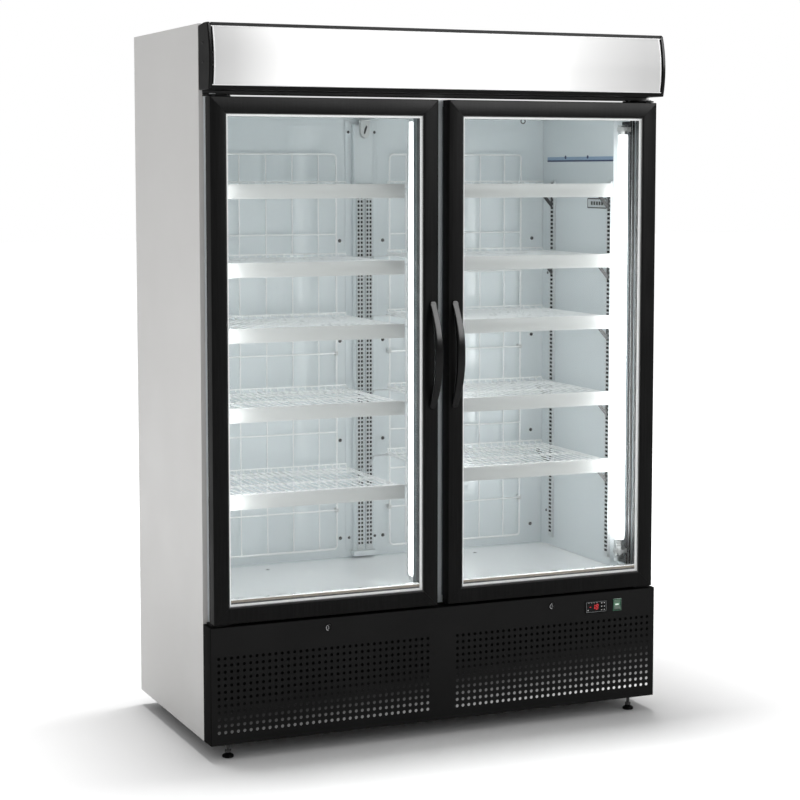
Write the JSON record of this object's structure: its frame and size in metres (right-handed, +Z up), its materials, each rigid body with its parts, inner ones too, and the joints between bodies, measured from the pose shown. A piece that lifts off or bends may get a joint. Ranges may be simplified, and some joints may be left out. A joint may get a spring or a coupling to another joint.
{
  "type": "glass door merchandiser",
  "caption": "Upright display cabinet with hinged glass doors, lit canopy, wire shelves with price rails and a perforated machine compartment below, for showing chilled or frozen goods.",
  "frame": {"origin": "on the floor under the middle of the bounding box", "axes": "+Z up, the doors face -Y, +X is to the right as seen facing the doors"},
  "size_m": [1.38, 0.722, 1.99],
  "materials": {
    "grey_painted_steel": "satin, fine orange peel",
    "white_liner": "glossy white",
    "zinc_plated_steel": "bright zinc plated",
    "black_painted_steel": "satin black powder coat",
    "black_plastic": "satin moulded",
    "black_door_frame": "satin extruded profile",
    "clear_glass": "polished sealed unit",
    "grey_gasket": "soft matt",
    "white_coated_wire": "white plastic coated",
    "canopy_diffuser": "opal, lit from behind",
    "lamp": "lit tube",
    "lock_metal": "dark nickel plated",
    "aluminium_fins": "mill finish",
    "green_rocker": "translucent lit rocker"
  },
  "bodies": {
    "cabinet": {"base_tray": "zinc_plated_steel", "canopy_diffuser": "canopy_diffuser", "canopy_housing": "black_painted_steel", "canopy_lamp": "lamp", "canopy_left_cap": "black_plastic", "canopy_right_cap": "black_plastic", "ceiling_panel": "white_liner", "centre_front_pilaster": "zinc_plated_steel", "centre_lamp": "lamp", "centre_mullion": "white_liner", "compressor": "black_painted_steel", "condenser": "black_painted_steel", "controller": "black_plastic", "evaporator": "aluminium_fins", "insulated_shell": "white_liner", "kick_panel": "black_painted_steel", "left_bottom_hinge": "black_painted_steel", "left_front_pilaster": "zinc_plated_steel", "left_insulated_wall": "white_liner", "left_lamp": "lamp", "left_rear_guard": "white_coated_wire", "left_rear_pilaster": "zinc_plated_steel", "left_shelf_1": "white_coated_wire", "left_shelf_2": "white_coated_wire", "left_shelf_3": "white_coated_wire", "left_shelf_4": "white_coated_wire", "left_shelf_5": "white_coated_wire", "left_side_panel": "grey_painted_steel", "left_top_hinge": "black_painted_steel", "rear_centre_post": "white_liner", "right_bottom_hinge": "black_painted_steel", "right_front_pilaster": "zinc_plated_steel", "right_insulated_wall": "white_liner", "right_lamp": "lamp", "right_rear_guard": "white_coated_wire", "right_rear_pilaster": "zinc_plated_steel", "right_shelf_1": "white_coated_wire", "right_shelf_2": "white_coated_wire", "right_shelf_3": "white_coated_wire", "right_shelf_4": "white_coated_wire", "right_shelf_5": "white_coated_wire", "right_side_panel": "grey_painted_steel", "right_top_hinge": "black_painted_steel"},
    "left_door": {"left_door_frame": "black_door_frame", "left_door_glass": "clear_glass", "left_door_gasket": "grey_gasket", "left_door_handle": "black_plastic"},
    "right_door": {"right_door_frame": "black_door_frame", "right_door_glass": "clear_glass", "right_door_gasket": "grey_gasket", "right_door_handle": "black_plastic"},
    "left_lock_barrel": {"left_lock": "lock_metal"},
    "right_lock_barrel": {"right_lock": "lock_metal"},
    "switch_rocker": {"rocker_switch": "green_rocker"},
    "condenser_fan_wheel": {"condenser_fan": "black_plastic"},
    "evaporator_fan_wheel": {"evaporator_fan": "black_plastic"},
    "foot_front_left": {"front_left_foot": "black_plastic"},
    "foot_front_right": {"front_right_foot": "black_plastic"},
    "foot_rear_left": {"rear_left_foot": "black_plastic"},
    "foot_rear_right": {"rear_right_foot": "black_plastic"}
  },
  "joints": [
    {"name": "left_door_hinge", "type": "hinge", "parent": "cabinet", "child": "left_door", "pos_m": [-0.664, -0.287, 1.0875], "axis": [0, 0, -1], "range_deg": [0, 110], "stiffness_Nm_per_rad": 1},
    {"name": "right_door_hinge", "type": "hinge", "parent": "cabinet", "child": "right_door", "pos_m": [0.664, -0.287, 1.0875], "axis": [0, 0, 1], "range_deg": [0, 110], "stiffness_Nm_per_rad": 1},
    {"name": "left_lock_turn", "type": "hinge", "parent": "cabinet", "child": "left_lock_barrel", "pos_m": [-0.348, -0.309, 0.344], "axis": [0, 1, 0], "range_deg": [0, 90]},
    {"name": "right_lock_turn", "type": "hinge", "parent": "cabinet", "child": "right_lock_barrel", "pos_m": [0.348, -0.309, 0.344], "axis": [0, 1, 0], "range_deg": [0, 90]},
    {"name": "switch_rock", "type": "hinge", "parent": "cabinet", "child": "switch_rocker", "pos_m": [0.564, -0.305, 0.33], "axis": [1, 0, 0], "range_deg": [0, 14]},
    {"name": "condenser_fan_spin", "type": "hinge", "parent": "cabinet", "child": "condenser_fan_wheel", "pos_m": [-0.32, 0.098, 0.19], "axis": [0, 1, 0], "continuous": true},
    {"name": "evaporator_fan_spin", "type": "hinge", "parent": "cabinet", "child": "evaporator_fan_wheel", "pos_m": [0, -0.027, 1.8], "axis": [0, 0, 1], "continuous": true},
    {"name": "front_left_foot_turn", "type": "hinge", "parent": "cabinet", "child": "foot_front_left", "pos_m": [-0.628, -0.267, 0], "axis": [0, 0, 1], "continuous": true},
    {"name": "front_right_foot_turn", "type": "hinge", "parent": "cabinet", "child": "foot_front_right", "pos_m": [0.628, -0.267, 0], "axis": [0, 0, 1], "continuous": true},
    {"name": "rear_left_foot_turn", "type": "hinge", "parent": "cabinet", "child": "foot_rear_left", "pos_m": [-0.628, 0.301, 0], "axis": [0, 0, 1], "continuous": true},
    {"name": "rear_right_foot_turn", "type": "hinge", "parent": "cabinet", "child": "foot_rear_right", "pos_m": [0.628, 0.301, 0], "axis": [0, 0, 1], "continuous": true}
  ]
}
